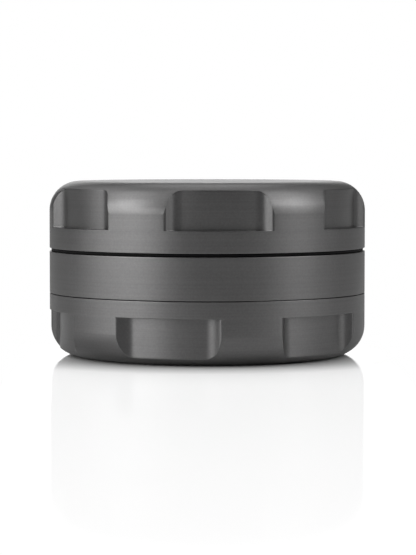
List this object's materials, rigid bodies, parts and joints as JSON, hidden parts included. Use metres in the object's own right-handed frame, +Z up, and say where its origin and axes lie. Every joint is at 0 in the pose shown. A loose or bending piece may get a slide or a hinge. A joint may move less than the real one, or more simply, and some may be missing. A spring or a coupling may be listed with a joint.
{
  "type": "herb grinder",
  "caption": "Hand-twist herb grinder: a pocketed lid on a slip ring over a toothed grinding chamber that screws into a storage cup.",
  "frame": {"origin": "centre of the storage cup's underside, on the axis all stages turn about", "axes": "+Z up along the turning axis from cup to lid, -Y through the middle of one of the cup's grip pockets, +X to the right as seen from -Y"},
  "size_m": [0.063, 0.063, 0.0346],
  "materials": {
    "anodised": "satin dark grey anodised over a bead-blasted surface",
    "polymer": "black self-lubricating polymer",
    "seal_rubber": "black rubber",
    "nickel": "nickel-plated magnet",
    "steel": "stainless screw"
  },
  "bodies": {
    "cup_stage": {"storage_cup": "anodised"},
    "seal_ring": {"thread_seal": "seal_rubber"},
    "chamber_stage": {"grinding_chamber": "anodised", "chamber_magnet": "nickel", "chamber_magnet_screw": "steel"},
    "slip_bearing": {"slip_ring": "polymer"},
    "lid_stage": {"lid": "anodised", "lid_magnet": "nickel", "lid_magnet_screw": "steel"}
  },
  "joints": [
    {"name": "chamber_travel", "type": "slide", "parent": "cup_stage", "child": "seal_ring", "axis": [0, 0, 1], "range_m": [0, 0.0061]},
    {"name": "chamber_unscrew", "type": "hinge", "parent": "seal_ring", "child": "chamber_stage", "pos_m": [0, 0, 0.0125], "axis": [0, 0, 1], "range_deg": [0, 1440]},
    {"name": "lid_lift", "type": "slide", "parent": "chamber_stage", "child": "slip_bearing", "axis": [0, 0, 1], "range_m": [0, 0.03]},
    {"name": "lid_turn", "type": "hinge", "parent": "slip_bearing", "child": "lid_stage", "pos_m": [0, 0, 0.0214], "axis": [0, 0, 1], "continuous": true}
  ],
  "couplings": [
    {"joint": "chamber_travel", "follows": "chamber_unscrew", "m_per_rad": 0.00023873}
  ]
}
